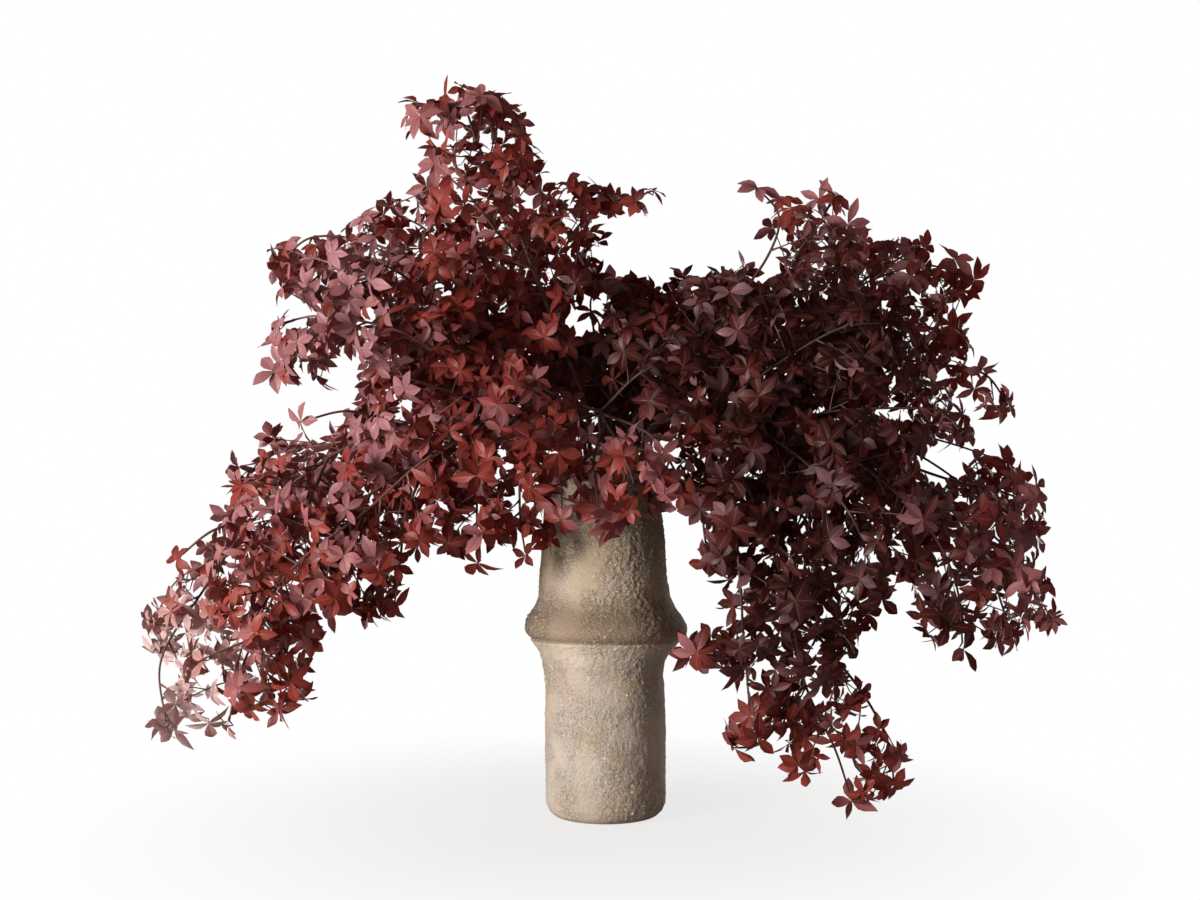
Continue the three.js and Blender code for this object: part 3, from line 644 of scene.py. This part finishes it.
# Each branch: its name, the seed of its shoots, where it stands, where it crosses the vase's mouth, its
# trunk's route above that, and each lateral's route from the trunk point whose number comes first
branches = [
    ["crown", 3, [-12, 8], [-14, 8],
     [[-20, 10, 375], [-40, 10, 425], [-65, 0, 490], [-85, -5, 545], [-95, -10, 595], [-115, -10, 635],
      [-145, -15, 630], [-175, -15, 625]],
     [2, [-55, 40, 545], [-72, 40, 600], [-92, 40, 649]],
     [1, [-35, 45, 485], [-35, 50, 525], [-5, 45, 555], [45, 40, 570]],
     [2, [-90, -40, 510], [-115, -60, 540], [-146, -65, 568]],
     [3, [-110, -25, 590], [-122, -30, 625], [-126, -30, 644]]],
    ["left_high", 1, [-22, 14], [-26, 16],
     [[-55, 30, 375], [-100, 45, 430], [-155, 55, 490], [-220, 60, 525], [-275, 55, 530],
      [-305, 50, 505]],
     [1, [-135, -20, 435], [-175, -60, 475], [-220, -80, 485], [-250, -85, 460]],
     [1, [-160, 10, 400], [-210, 0, 420], [-260, -20, 430], [-290, -30, 395]],
     [2, [-170, 90, 540], [-200, 95, 560]],
     [1, [-140, -70, 410], [-180, -90, 425], [-235, -90, 435], [-274, -80, 430]],
     [0, [-110, -50, 370], [-155, -85, 380], [-190, -90, 390]]],
    ["left_low", 4, [-26, 2], [-32, 2],
     [[-70, 5, 360], [-125, 10, 365], [-185, 5, 350], [-250, 0, 320], [-315, -5, 265], [-360, -10, 200],
      [-395, -15, 140], [-390, -15, 80]],
     [1, [-175, 50, 350], [-245, 75, 340], [-325, 85, 325], [-345, 85, 300]],
     [1, [-195, 70, 330], [-280, 110, 285], [-365, 125, 235], [-425, 130, 205], [-450, 125, 160]],
     [3, [-265, -50, 255], [-285, -65, 195], [-310, -70, 135], [-320, -70, 90]],
     [2, [-225, -30, 360], [-265, -40, 350]],
     [4, [-345, -30, 255], [-375, -35, 230]]],
    ["left_front", 4, [-22, -12], [-28, -16],
     [[-61, -33, 351], [-98, -48, 348], [-152, -55, 317], [-202, -60, 286], [-246, -64, 238],
      [-273, -64, 173], [-278, -62, 104]],
     [1, [-127, -66, 333], [-162, -76, 308], [-203, -86, 270], [-252, -95, 232], [-290, -104, 182],
         [-310, -104, 123]],
     [2, [-170, -62, 270], [-175, -66, 227], [-180, -66, 190]],
     [1, [-109, -54, 306], [-110, -60, 265], [-109, -62, 228]],
     [0, [-72, -56, 316], [-73, -62, 270], [-68, -64, 234]],
     [3, [-217, -82, 232], [-228, -86, 200]]],
    ["centre", 1, [2, 16], [4, 18],
     [[5, 45, 375], [20, 70, 425], [40, 85, 470], [45, 90, 485]],
     [0, [40, 70, 415], [80, 85, 460], [115, 85, 490], [135, 85, 500]],
     [0, [-5, 100, 420], [-15, 150, 485], [5, 170, 505]],
     [0, [-15, 60, 405], [-45, 90, 455], [-45, 100, 485]]],
    ["right_high", 3, [14, 6], [18, 8],
     [[40, 15, 375], [75, 10, 420], [115, 0, 460], [145, -5, 500], [155, -10, 535], [135, -15, 560]],
     [2, [170, 20, 490], [190, 25, 525], [210, 25, 560]],
     [1, [80, -40, 440], [95, -60, 455]],
     [2, [140, -50, 455], [165, -60, 465], [190, -60, 465]]],
    ["right_top", 5, [22, 12], [26, 16],
     [[60, 40, 370], [110, 60, 405], [170, 75, 445], [235, 85, 485], [305, 90, 510], [355, 85, 495]],
     [1, [180, 110, 400], [245, 140, 435], [315, 150, 445], [355, 150, 455]],
     [2, [220, 60, 425], [275, 50, 440], [320, 50, 430]],
     [3, [270, 110, 510], [302, 115, 528]]],
    ["right_mid", 6, [26, 0], [34, 2],
     [[60, 10, 360], [115, 10, 375], [175, 10, 395], [240, 5, 410], [295, 0, 405], [338, -5, 396],
      [358, -10, 370]],
     [1, [160, -30, 355], [210, -50, 360], [270, -60, 360], [305, -60, 355]],
     [2, [230, 60, 375], [295, 90, 350], [345, 95, 335], [390, 100, 320]],
     [1, [150, -60, 400], [195, -80, 425], [230, -85, 430]]],
    ["right_low", 4, [26, -8], [32, -10],
     [[60, -20, 355], [115, -30, 355], [175, -35, 345], [240, -40, 320], [300, -45, 280],
      [350, -50, 235], [380, -50, 180]],
     [2, [220, -90, 305], [260, -110, 265], [285, -115, 215], [290, -120, 160]],
     [3, [315, 10, 300], [365, 25, 290], [395, 30, 275]],
     [2, [235, 20, 345], [305, 60, 320], [365, 75, 275], [405, 80, 215]],
     [1, [165, -85, 315], [200, -110, 270], [215, -115, 230], [225, -115, 200]],
     [4, [320, -80, 230], [335, -90, 180]],
     [1, [175, 60, 330], [240, 100, 290], [300, 120, 235], [320, 120, 185]]],
    ["fall", 11, [16, -18], [20, -26],
     [[36, -43, 361], [77, -61, 352], [108, -72, 316], [133, -76, 260], [154, -76, 198],
      [169, -72, 126], [195, -68, 70], [210, -65, 25]],
     [1, [103, -94, 291], [109, -104, 234], [114, -104, 166], [119, -104, 104]],
     [2, [162, -43, 280], [192, -29, 230], [207, -25, 184], [212, -25, 154]],
     [4, [193, -43, 153], [228, -36, 108], [248, -32, 68], [253, -32, 32]],
     [1, [87, -79, 306], [82, -83, 265], [87, -83, 229]],
     [4, [114, -94, 182], [93, -97, 161], [67, -97, 156]],
     [5, [140, -81, 87], [126, -85, 76], [108, -86, 74]]],
    ["front", 1, [-2, -20], [-4, -30],
     [[-5, -54, 357], [0, -79, 347], [16, -101, 317], [26, -108, 286]],
     [0, [-31, -79, 342], [-36, -97, 306], [-36, -104, 265]],
     [1, [-10, -108, 312], [-5, -115, 275]],
     [0, [36, -86, 337], [57, -101, 306], [62, -101, 286]],
     [0, [-37, -60, 370], [-64, -70, 366], [-86, -76, 340]],
     [0, [32, -66, 391], [70, -78, 398], [97, -86, 372]]],
    ["back_left", 6, [-14, 20], [-18, 28],
     [[-35, 85, 380], [-85, 140, 425], [-150, 190, 445], [-220, 225, 430], [-275, 240, 370],
      [-310, 240, 305]],
     [1, [-140, 190, 480], [-195, 220, 505], [-250, 230, 510]],
     [1, [-130, 200, 400], [-180, 240, 370], [-200, 250, 315]],
     [0, [-75, 140, 455], [-110, 170, 520], [-140, 175, 540]]],
    ["back_right", 6, [14, 20], [16, 28],
     [[35, 85, 380], [85, 140, 420], [150, 190, 440], [230, 225, 425], [285, 240, 360],
      [315, 240, 285]],
     [1, [150, 200, 470], [205, 220, 485], [260, 225, 485]],
     [1, [140, 200, 390], [200, 240, 340], [220, 250, 275]],
     [0, [55, 150, 445], [85, 180, 480], [140, 185, 490]]],
    ["back", 1, [0, 26], [0, 36],
     [[0, 110, 380], [-5, 160, 420], [-5, 210, 430], [-5, 250, 395], [0, 270, 315]],
     [1, [-50, 220, 435], [-80, 260, 405], [-95, 270, 360]],
     [1, [45, 220, 435], [80, 260, 405], [95, 270, 360]],
     [0, [-5, 150, 455], [-15, 190, 480]]],
]


def seeded(seed):
    state = [seed]

    def draw(low=0.0, high=1.0):
        state[0] = (state[0] * 1664525 + 1013904223) % 4294967296
        return low + (high - low) * state[0] / 4294967296

    return draw


def unit(v):
    return v / math.sqrt(v[0] * v[0] + v[1] * v[1] + v[2] * v[2])


def vector(x, y, z):
    return np.array([x, y, z], float)


def measured(line):
    steps = [math.dist(a, b) for a, b in zip(line, line[1:])]
    run = np.concatenate([[0], np.cumsum(steps)])
    return {"line": line, "run": run, "length": run[-1]}


def smoothRoute(points):  # Catmull-Rom line through the points
    points = [vector(*p) for p in points]
    ends = [2 * points[0] - points[1], 2 * points[-1] - points[-2]]
    full = [ends[0], *points, ends[1]]
    line = [points[0]]
    for i in range(len(points) - 1):
        a, b, c, d = full[i:i + 4]
        for step in range(1, growth["splineSteps"] + 1):
            t = step / growth["splineSteps"]
            t2, t3 = t * t, t * t * t
            line.append(
                a * (0.5 * (-t + 2 * t2 - t3)) + b * (0.5 * (2 - 5 * t2 + 3 * t3))
                + c * (0.5 * (t + 4 * t2 - 3 * t3)) + d * (0.5 * (-t2 + t3)))
    return measured(line)


def alongRoute(route, distance):
    i = 1
    while i < len(route["line"]) - 1 and route["run"][i] < distance:
        i += 1
    start, end = route["line"][i - 1], route["line"][i]
    share = (distance - route["run"][i - 1]) / (route["run"][i] - route["run"][i - 1])
    return start + (end - start) * share, unit(end - start)


def aside(direction, azimuth, opening):
    reference = vector(0, 0, 1) if abs(direction[2]) < 0.8 else vector(1, 0, 0)
    side = unit(np.cross(reference, direction))
    other = np.cross(direction, side)
    spread = side * math.cos(azimuth) + other * math.sin(azimuth)
    return direction * math.cos(opening) + spread * math.sin(opening)


def insideEdge(x, z):
    inside = False
    for (xi, zi), (xj, zj) in zip(crownEdge, crownEdge[-1:] + crownEdge[:-1]):
        if (zi > z) != (zj > z) and x < (xj - xi) * (z - zi) / (zj - zi) + xi:
            inside = not inside
    return inside


def mayGrow(point, reach):  # inside the crown's edge, off its gaps and clear of the vase
    if point[2] < growth["lowestLeaf"] or not growth["frontReach"] <= point[1] <= growth["backReach"]:
        return False
    bodyRadius = vaseForm["ring"] if point[2] < vaseForm["ringHeight"] + 40 else vaseForm["shoulder"]
    nearVase = math.hypot(point[0], point[1]) < bodyRadius + growth["vaseClearance"]
    if nearVase and point[2] < vaseForm["height"] + growth["vaseClearance"] / 2:
        return False
    shrink = growth["eyeBack"] / (growth["eyeBack"] + point[1])
    x = point[0] * shrink
    z = growth["eyeUp"] + (point[2] - growth["eyeUp"]) * shrink
    probes = [(0, 0), (reach, 0), (-reach, 0), (0, reach), (0, -reach)]
    if not all(insideEdge(x + dx, z + dz) for dx, dz in probes):
        return False
    return all(((x - gx) / rx) ** 2 + ((z - gz) / rz) ** 2 >= 1 for gx, gz, rx, rz in crownGaps)


def makeWhorl(centre, heading, draw, scale):
    side = -150 if centre[1] < 50 else 150
    outward = unit(vector(0.5 * centre[0], side, 0.5 * (centre[2] - 330)))
    stray = vector(draw(-0.9, 0.9), draw(-0.9, 0.9), draw(-0.6, 0.9))
    whorl = {"centre": centre, "normal": unit(stray + heading * 0.4 + outward * 0.8)}
    whorl["size"] = growth["leafletLength"] * scale * draw(0.75, 1.15)
    whorl["spin"] = draw(0, 2 * math.pi)
    whorl["lobes"] = 5 if draw() < 0.6 else 6
    whorl["tone"] = draw()
    return whorl


def growShoots(route, bare, draw):
    shoots = []
    leafy = route["length"] - bare
    for k in range(math.floor(leafy / growth["shootGap"])):
        distance = bare + (k + draw(0.2, 0.8)) * growth["shootGap"]
        if distance > route["length"] - growth["endMargin"]:
            break
        point, direction = alongRoute(route, distance)
        share = (distance - bare) / leafy
        length = growth["shootLength"] * (1 - growth["shootTaper"] * share) * draw(0.6, 1.15)
        azimuth = k * growth["goldenAngle"] + draw(-0.5, 0.5)
        heading = aside(direction, azimuth, draw(0.8, 1.25))
        line = [point]
        run = 0
        while run < length:
            dx, dy, dz = (draw(-growth["wander"], growth["wander"]) for _ in range(3))
            heading = unit(heading + vector(dx, dy, dz - growth["shootDroop"]))
            tip = line[-1] + heading * growth["shootStep"]
            if not mayGrow(tip, growth["leafReach"]):
                break
            line.append(tip)
            run += growth["shootStep"]
        if len(line) < 3:
            continue
        shoot = measured(line)
        shoot["twigs"] = growTwigs(shoot, k, draw)
        shoot["whorl"] = makeWhorl(line[-1], heading, draw, 1)
        shoots.append(shoot)
    return shoots


def growTwigs(shoot, k, draw):
    twigs = []
    for j in range(math.floor((shoot["length"] - 8) / growth["whorlGap"])):
        place = 10 + (j + draw(0.2, 0.7)) * growth["whorlGap"]
        if place > shoot["length"] - growth["endMargin"]:
            break
        node, direction = alongRoute(shoot, place)
        azimuth = (j + k) * growth["goldenAngle"] + draw(-0.4, 0.4)
        out = aside(direction, azimuth, draw(0.7, 1.2))
        tip = node + out * (growth["twigLength"] * draw(0.6, 1.3))
        if mayGrow(tip, growth["leafReach"]):
            twigs.append({"line": [node, tip], "whorl": makeWhorl(tip, out, draw, 0.9)})
    return twigs


def growBranch(seed, foot, mouth, trunk, *laterals):
    draw = seeded(7919 * seed)
    (footX, footY), (mouthX, mouthY) = foot, mouth
    hidden = [
        (footX, footY, vaseForm["floor"] + 2),
        ((footX + mouthX) / 2, (footY + mouthY) / 2, vaseForm["height"] / 2),
        (mouthX, mouthY, vaseForm["height"]),
    ]
    route = smoothRoute(hidden + trunk)
    stems = [{"route": route, "bare": growth["trunkBare"], "girth": woodForm["trunk"]}]
    for fork, *points in laterals:
        route = smoothRoute([trunk[fork], *points])
        stems.append({"route": route, "bare": growth["lateralBare"], "girth": woodForm["lateral"]})
    for stem in stems:
        stem["shoots"] = growShoots(stem["route"], stem["bare"], draw)
        point, direction = alongRoute(stem["route"], stem["route"]["length"])
        stem["whorl"] = makeWhorl(point, direction, draw, 1.05)
    return stems


# Wood: every run of it is a line of points with a girth, and Geometry Nodes give it its skin
woodForm = {
    "trunk": 2.6,
    "lateral": 1.5,
    "tip": 0.8,
    "shoot": 0.75,
    "shootTip": 0.45,
    "twig": 0.4,
    "petiole": 4,
    "knot": 1.7,
    "stemSides": 8,
    "shootSides": 5,
    "bareTwig": [(16, -104, 300), (10, -102, 284), (0, -100, 274), (-6, -99, 265), (-9, -98, 256),
                 (-6, -98, 247)],
    "bareTwigBranch": "front",
    "bareTwigGirths": (1.2, 0.5),
}


def turnedUp(line, whorl):  # the line's end turns up into the back of the whorl
    stalk = whorl["centre"] - whorl["normal"] * woodForm["petiole"]
    return [*line[:-1], stalk, whorl["centre"]]


def woodRuns(stems, draw):
    stemRuns, shootRuns = [], []
    for stem in stems:
        line = turnedUp(stem["route"]["line"], stem["whorl"])
        girths = np.linspace(stem["girth"], woodForm["tip"], len(line))
        stemRuns.append((line, girths, draw(0.1, 0.5)))
        for shoot in stem["shoots"]:
            line = turnedUp(shoot["line"], shoot["whorl"])
            girths = np.linspace(woodForm["shoot"], woodForm["shootTip"], len(line))
            girths[0] *= woodForm["knot"]
            shootRuns.append((line, girths, draw(0.1, 1.0)))
            for twig in shoot["twigs"]:
                line = turnedUp(twig["line"], twig["whorl"])
                girths = np.full(len(line), woodForm["twig"])
                girths[0] *= woodForm["knot"]
                shootRuns.append((line, girths, draw(0.2, 1.0)))
    return stemRuns, shootRuns


def woodTree():
    inputs = {"Sides": "NodeSocketInt", "Material": "NodeSocketMaterial"}
    graph, inlet = newTree("wood", inputs)
    curve = graph.add("GeometryNodeMeshToCurve", None, {"Mesh": inlet["Geometry"]})["Curve"]
    girth = graph.named("girth")
    sized = graph.add("GeometryNodeSetCurveRadius", None, {"Curve": curve, "Radius": girth})["Curve"]
    circle = {"Resolution": inlet["Sides"], "Radius": 1.0}
    ring = graph.add("GeometryNodeCurvePrimitiveCircle", None, circle)["Curve"]
    inputs = {"Curve": sized, "Profile Curve": ring, "Fill Caps": True}
    skin = graph.add("GeometryNodeCurveToMesh", None, inputs)
    if "Scale" in skin.node.inputs:
        graph.feed(skin.node.inputs["Scale"], girth)
    smooth = graph.add("GeometryNodeSetShadeSmooth", None, {"Geometry": skin["Mesh"]})
    return endTree(graph, smooth["Geometry"])


def makeWood(name, runs, sides, tree):
    vertices, edges, girths, tones = [], [], [], []
    for line, girth, tone in runs:
        start = len(vertices)
        vertices += [p * metres for p in line]
        edges += [(i, i + 1) for i in range(start, len(vertices) - 1)]
        girths += [g * metres for g in girth]
        tones += [tone] * len(line)
    piece = newPiece(name, vertices, edges)
    setAttribute(piece.data, "girth", "FLOAT", girths)
    setAttribute(piece.data, "tone", "FLOAT", tones)
    return grown(piece, tree, {"Sides": sides, "Material": bark})


# Leaves: a few forms of whorl, set on points by Geometry Nodes
leafForm = {
    "rows": (0.14, 0.37, 0.62, 0.85),
    "widths": (0.42, 0.93, 1.0, 0.48),
    "halfWidth": 0.250,
    "arch": 0.14,
    "fold": 0.20,
    "thickness": 0.014,
    "root": 0.01,
    "forms": 5,
    "angle": (-0.28, 0.28),
    "size": (0.80, 1.12),
    "lift": (-0.45, 0.70),
    "curl": (-0.15, 0.35),
    "twist": (-1.0, 1.0),
}


def leafletMesh(angle, length, width, lift, curl, twist):
    def middle(reach):
        return Vector((reach, 0, lift * reach - (leafForm["arch"] + curl) * reach * reach))

    rows = leafForm["rows"]
    thick = Vector((0, 0, leafForm["thickness"] / 2))
    vertices = [Vector((leafForm["root"], 0, 0))]
    for share, broad in zip(rows, leafForm["widths"]):
        centre = middle(share * length)
        half = leafForm["halfWidth"] * width * broad
        roll = Matrix.Rotation(twist * share, 3, "X")
        left, right = (roll @ Vector((0, side, half * leafForm["fold"])) for side in (half, -half))
        vertices += [centre + left, centre + thick, centre + right, centre - thick]
    vertices.append(middle(length))
    turn = Matrix.Rotation(angle, 3, "Z")
    along = [0.0] + [share for share in rows for _ in range(4)] + [1.0]
    across = [0.0] + [1.0, 0.0, -1.0, 0.0] * len(rows) + [0.0]
    faces, ridges = [], []
    last = len(vertices) - 1
    for i in range(len(rows) + 1):
        first = 1 + 4 * (i - 1)
        for side in range(4):
            after = (side + 1) % 4
            if i == 0:
                faces.append((0, 1 + side, 1 + after))
            elif i == len(rows):
                faces.append((first + side, last, first + after))
            else:
                faces.append((first + side, first + 4 + side, first + 4 + after, first + after))
            if side != 3:
                ends = (0 if i == 0 else first + side, last if i == len(rows) else first + 4 + side)
                ridges.append(tuple(sorted(ends)))
    return [turn @ v for v in vertices], faces, ridges, along, across


def whorlForm(lobes, number):
    draw = seeded(101 * lobes + number)
    vertices, faces, ridges, along, across, leaflets = [], [], [], [], [], []
    for lobe in range(lobes):
        angle = 2 * math.pi * lobe / lobes + draw(*leafForm["angle"])
        drawn = [draw(*leafForm[name]) for name in ("size", "size", "lift", "curl", "twist")]
        parts = leafletMesh(angle, *drawn)
        start = len(vertices)
        vertices += parts[0]
        faces += [tuple(start + corner for corner in face) for face in parts[1]]
        ridges += [(start + a, start + b) for a, b in parts[2]]
        along += parts[3]
        across += parts[4]
        leaflets += [draw()] * len(parts[0])
    form = newPiece(f"whorl{lobes}_{number}", vertices, (), faces)
    mesh = form.data
    mesh.shade_smooth()
    for name, values in (("along", along), ("across", across), ("leaflet", leaflets)):
        setAttribute(mesh, name, "FLOAT", values)
    sharp = mesh.attributes.new("sharp_edge", "BOOLEAN", "EDGE")
    wanted = set(ridges)
    sharp.data.foreach_set("value", [tuple(sorted(edge.vertices)) in wanted for edge in mesh.edges])
    return form


def makeForms():
    collection = bpy.data.collections.new("whorlForms")
    bpy.context.scene.collection.children.link(collection)
    for lobes in (5, 6):
        for number in range(leafForm["forms"]):
            form = whorlForm(lobes, number)
            bpy.context.collection.objects.unlink(form)
            collection.objects.link(form)
    return collection


def leafTree():
    inputs = {"Forms": "NodeSocketCollection", "Material": "NodeSocketMaterial"}
    graph, inlet = newTree("leaves", inputs)
    forms = graph.add("GeometryNodeCollectionInfo", None, {
        "Collection": inlet["Forms"], "Separate Children": True, "Reset Children": True})["Instances"]
    placed = graph.add("GeometryNodeInstanceOnPoints", None, {
        "Points": inlet["Geometry"], "Instance": forms, "Pick Instance": True,
        "Instance Index": graph.named("form", "INT"), "Rotation": graph.named("turn", "FLOAT_VECTOR"),
        "Scale": graph.named("size")})
    return endTree(graph, placed["Instances"])


def whorlTurn(whorl):  # Euler angles that lay a form's x, y and z along the whorl's own axes
    normal = Vector(whorl["normal"])
    reference = Vector((0, 0, 1)) if abs(normal.z) < 0.9 else Vector((1, 0, 0))
    right = reference.cross(normal).normalized()
    up = normal.cross(right)
    axes = Matrix((right, up, normal)).transposed() @ Matrix.Rotation(whorl["spin"], 3, "Z")
    return tuple(axes.to_euler())


def makeLeaves(name, whorls, forms, tree):
    piece = newPiece(name, [w["centre"] * metres for w in whorls])
    count = leafForm["forms"]
    kinds = [(w["lobes"] - 5) * count + int(w["tone"] * 97) % count for w in whorls]
    setAttribute(piece.data, "form", "INT", kinds)
    setAttribute(piece.data, "turn", "FLOAT_VECTOR", [whorlTurn(w) for w in whorls])
    setAttribute(piece.data, "size", "FLOAT", [w["size"] * metres for w in whorls])
    setAttribute(piece.data, "tone", "FLOAT", [w["tone"] for w in whorls])
    return grown(piece, tree, {"Forms": forms, "Material": leaf})


def branchWhorls(stems):
    whorls = []
    for stem in stems:
        whorls.append(stem["whorl"])
        for shoot in stem["shoots"]:
            whorls.append(shoot["whorl"])
            whorls += [twig["whorl"] for twig in shoot["twigs"]]
    return whorls


def joined(name, pieces):
    with bpy.context.temp_override(active_object=pieces[0], selected_editable_objects=pieces):
        bpy.ops.object.join()
    pieces[0].name = name
    return pieces[0]


def makeBranches():
    forms = makeForms()
    woods, leaves = woodTree(), leafTree()
    total = 0
    for index, (name, *plan) in enumerate(branches):
        stems = growBranch(*plan)
        stemRuns, shootRuns = woodRuns(stems, seeded(31 + index))
        if name == woodForm["bareTwigBranch"]:
            line = smoothRoute(woodForm["bareTwig"])["line"]
            stemRuns.append((line, np.linspace(*woodForm["bareTwigGirths"], len(line)), 0.7))
        stemWood = makeWood(f"stems_{name}", stemRuns, woodForm["stemSides"], woods)
        shootWood = makeWood(f"shoots_{name}", shootRuns, woodForm["shootSides"], woods)
        wood = joined(f"wood_{name}", [stemWood, shootWood])
        whorls = branchWhorls(stems)
        foliage = makeLeaves(f"leaves_{name}", whorls, forms, leaves)
        for piece in (wood, foliage):
            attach(piece, "root")
            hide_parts(f"branch_{name}")
        total += len(whorls)
        print(f"branch {name}: {len(whorls)} whorls")
    for form in list(forms.objects):
        bpy.data.objects.remove(form)
    bpy.data.collections.remove(forms)
    print("whorls:", total)


makeVase()
makeBranches()

# Floor and light: a pale floor that fades into a white surround, and a broad light from the left
setting = {
    "floorSize": 9.0,
    "floorColour": (0.50, 0.48, 0.46),
    "fadeFrom": 0.05,
    "fadeTo": 0.55,
    "nearFloor": 0.78,
    "surround": 1.0,
    "surroundLight": 0.15,
    "ambient": (1.0, 0.82, 0.72),
    "key": {"at": (-1.75, -1.46, 0.50), "size": 1.0, "watts": 76, "colour": (1.0, 0.985, 0.96)},
    "fill": {"at": (-0.5, -1.6, 0.10), "size": 1.0, "watts": 2.5, "colour": (1.0, 0.86, 0.76)},
    "rear": {"at": (1.3, 2.1, 0.9), "size": 2.0, "watts": 36, "colour": (1.0, 0.96, 0.92)},
    "aim": (0, 0, 0.32),
}


def makeFloor():
    half = setting["floorSize"] / 2
    corners = [(-half, -half, 0), (half, -half, 0), (half, half, 0), (-half, half, 0)]
    floor = newPiece("floor", corners, (), [(0, 1, 2, 3)])
    material, graph = newMaterial("paleFloor")
    place = graph.add("ShaderNodeTexCoord")["Object"]
    away = graph.add("ShaderNodeVectorMath", {"operation": "LENGTH"}, {"Vector": place})["Value"]
    seen = graph.add("ShaderNodeLightPath")["Is Camera Ray"]
    near = setting["nearFloor"]
    fade = (near + (1 - near) * away.between(setting["fadeFrom"], setting["fadeTo"])) * seen
    matt = graph.add("ShaderNodeBsdfDiffuse", None, {"Color": setting["floorColour"]})["BSDF"]
    glow = {"Color": (1, 1, 1), "Strength": setting["surround"]}
    bright = graph.add("ShaderNodeEmission", None, glow)["Emission"]
    mixed = graph.add("ShaderNodeMixShader", None, {0: fade, 1: matt, 2: bright})["Shader"]
    graph.add("ShaderNodeOutputMaterial", None, {"Surface": mixed})
    floor.data.materials.append(material)


def makeSurround():
    world = bpy.data.worlds.new("surround")
    world.use_nodes = True
    world.node_tree.nodes.clear()
    graph = Graph(world.node_tree)
    seen = graph.add("ShaderNodeLightPath")["Is Camera Ray"]
    dim = graph.add("ShaderNodeBackground", None, {
        "Color": (*setting["ambient"], 1), "Strength": setting["surroundLight"]})["Background"]
    white = graph.add("ShaderNodeBackground", None, {
        "Color": (1, 1, 1, 1), "Strength": setting["surround"]})["Background"]
    mixed = graph.add("ShaderNodeMixShader", None, {0: seen, 1: dim, 2: white})["Shader"]
    graph.add("ShaderNodeOutputWorld", None, {"Surface": mixed})
    bpy.context.scene.world = world


def makeLight(name):
    form = setting[name]
    light = bpy.data.lights.new(name, "AREA")
    light.shape = "DISK"
    light.size = form["size"]
    light.energy = form["watts"]
    light.color = form["colour"]
    lamp = newObject(name, light)
    lamp.location = form["at"]
    towards = Vector(setting["aim"]) - Vector(form["at"])
    lamp.rotation_euler = towards.to_track_quat("-Z", "Y").to_euler()


makeFloor()
makeSurround()
for name in ("key", "fill", "rear"):
    makeLight(name)
bpy.context.scene.view_settings.view_transform = "Standard"
print("floor and light")
